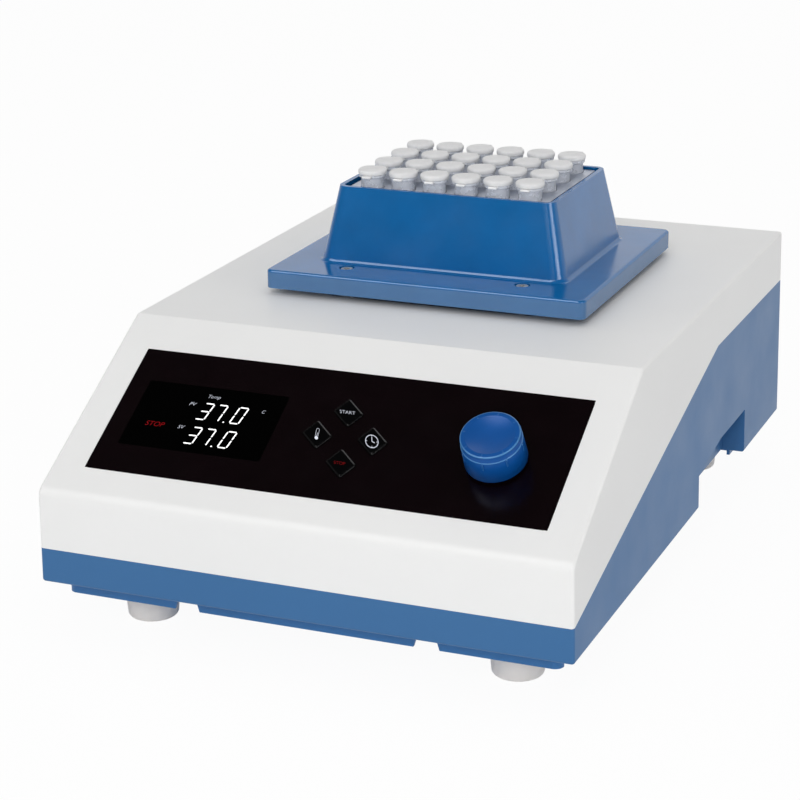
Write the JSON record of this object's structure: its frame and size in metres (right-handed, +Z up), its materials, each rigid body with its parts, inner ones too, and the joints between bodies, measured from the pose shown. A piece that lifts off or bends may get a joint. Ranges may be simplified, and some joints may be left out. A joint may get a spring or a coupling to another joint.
{
  "type": "thermal mixer",
  "caption": "Bench instrument that heats and orbitally shakes small capped tubes in a tapered block, with a sloping control face, setting knob and keys.",
  "frame": {"origin": "middle of the footprint, at the bottom of the rubber feet on the bench", "axes": "+X to the user's right, +Y to the back along the longest side, +Z up"},
  "size_m": [0.241, 0.336, 0.1733],
  "materials": {
    "white_shell": "fine textured moulding",
    "blue_shell": "fine textured moulding",
    "blue_pan": "satin powder coat",
    "grey_rubber": "matt",
    "black_panel": "glossy",
    "window": "glossy",
    "key_black": "satin",
    "knob_blue": "satin",
    "cover_blue": "satin moulding",
    "board_green": "solder mask",
    "black_plastic": "matt",
    "steel": "machined",
    "zinc": "zinc plated",
    "bronze": "sintered",
    "brass": "plain",
    "aluminium": "machined, anodised",
    "motor_grey": "satin",
    "insulation": "glass fibre board",
    "tube_plastic": "frosted, translucent",
    "transformer": "varnished laminations"
  },
  "bodies": {
    "housing": {"upper_housing": "white_shell", "lower_housing": "blue_shell", "base_pan": "blue_pan", "foot_front_left": "grey_rubber", "foot_front_right": "grey_rubber", "foot_rear_left": "grey_rubber", "foot_rear_right": "grey_rubber", "foot_screws": "zinc", "housing_screws": "zinc", "control_panel": "black_panel", "display_window": "window", "display_module": "black_plastic", "control_board": "board_green", "board_screws": "zinc", "key_switches": "black_plastic", "encoder_body": "zinc", "encoder_nut": "brass", "drive_frame": "aluminium", "frame_posts": "aluminium", "frame_screws": "zinc", "motor_body": "motor_grey", "main_bearing": "steel", "frame_bushes": "bronze", "power_inlet": "black_plastic", "inlet_pins": "zinc", "fuse_drawer": "black_plastic", "switch_frame": "black_plastic", "power_board": "board_green", "board_pillars": "brass", "power_board_screws": "zinc", "power_transformer": "transformer", "power_capacitors": "black_plastic"},
    "knob": {"knob": "knob_blue", "encoder_shaft": "steel"},
    "start_key": {"key_start": "key_black"},
    "temperature_key": {"key_temperature": "key_black"},
    "timer_key": {"key_timer": "key_black"},
    "stop_key": {"key_stop": "key_black"},
    "rocker": {"power_rocker": "black_plastic"},
    "eccentric": {"motor_shaft": "steel", "eccentric_hub": "steel", "counterweight": "brass"},
    "crank_1": {"guide_crank_1": "steel"},
    "crank_2": {"guide_crank_2": "steel"},
    "crank_3": {"guide_crank_3": "steel"},
    "crank_4": {"guide_crank_4": "steel"},
    "platform": {"shaker_platform": "aluminium", "platform_bushes": "bronze", "platform_bearing": "steel", "insulation_pad": "insulation", "heater_plate": "aluminium", "heater_cartridges": "steel", "temperature_sensor": "steel", "tube_block": "aluminium", "block_cover": "cover_blue", "block_screws": "zinc"},
    "tubes": {"tubes_row_1": "tube_plastic", "tubes_row_2": "tube_plastic", "tubes_row_3": "tube_plastic", "tubes_row_4": "tube_plastic"}
  },
  "joints": [
    {"name": "knob_turn", "type": "hinge", "parent": "housing", "child": "knob", "pos_m": [0.07275, -0.12901, 0.09349], "axis": [0, -0.4986, 0.8669], "continuous": true},
    {"name": "start_press", "type": "slide", "parent": "housing", "child": "start_key", "axis": [0, 0.4986, -0.8669], "range_m": [0, 0.0006], "stiffness_N_per_m": 600},
    {"name": "temperature_press", "type": "slide", "parent": "housing", "child": "temperature_key", "axis": [0, 0.4986, -0.8669], "range_m": [0, 0.0006], "stiffness_N_per_m": 600},
    {"name": "timer_press", "type": "slide", "parent": "housing", "child": "timer_key", "axis": [0, 0.4986, -0.8669], "range_m": [0, 0.0006], "stiffness_N_per_m": 600},
    {"name": "stop_press", "type": "slide", "parent": "housing", "child": "stop_key", "axis": [0, 0.4986, -0.8669], "range_m": [0, 0.0006], "stiffness_N_per_m": 600},
    {"name": "rocker_tip", "type": "hinge", "parent": "housing", "child": "rocker", "pos_m": [-0.078, 0.16, 0.056], "axis": [1, 0, 0], "range_deg": [0, 24]},
    {"name": "drive_spin", "type": "hinge", "parent": "housing", "child": "eccentric", "pos_m": [0, 0.0417, 0.09], "axis": [0, 0, 1], "continuous": true},
    {"name": "platform_orbit", "type": "hinge", "parent": "eccentric", "child": "platform", "pos_m": [0, 0.0402, 0.11], "axis": [0, 0, 1], "continuous": true},
    {"name": "crank_1_spin", "type": "hinge", "parent": "housing", "child": "crank_1", "pos_m": [-0.044, 0.0117, 0.09], "axis": [0, 0, 1], "continuous": true},
    {"name": "crank_2_spin", "type": "hinge", "parent": "housing", "child": "crank_2", "pos_m": [0.044, 0.0117, 0.09], "axis": [0, 0, 1], "continuous": true},
    {"name": "crank_3_spin", "type": "hinge", "parent": "housing", "child": "crank_3", "pos_m": [-0.044, 0.0717, 0.09], "axis": [0, 0, 1], "continuous": true},
    {"name": "crank_4_spin", "type": "hinge", "parent": "housing", "child": "crank_4", "pos_m": [0.044, 0.0717, 0.09], "axis": [0, 0, 1], "continuous": true},
    {"name": "tubes_lift", "type": "slide", "parent": "platform", "child": "tubes", "axis": [0, 0, 1], "range_m": [0, 0.045]}
  ],
  "couplings": [
    {"joint": "drive_spin", "follows": "platform_orbit", "ratio": -1},
    {"joint": "crank_1_spin", "follows": "platform_orbit", "ratio": -1},
    {"joint": "crank_2_spin", "follows": "platform_orbit", "ratio": -1},
    {"joint": "crank_3_spin", "follows": "platform_orbit", "ratio": -1},
    {"joint": "crank_4_spin", "follows": "platform_orbit", "ratio": -1}
  ]
}
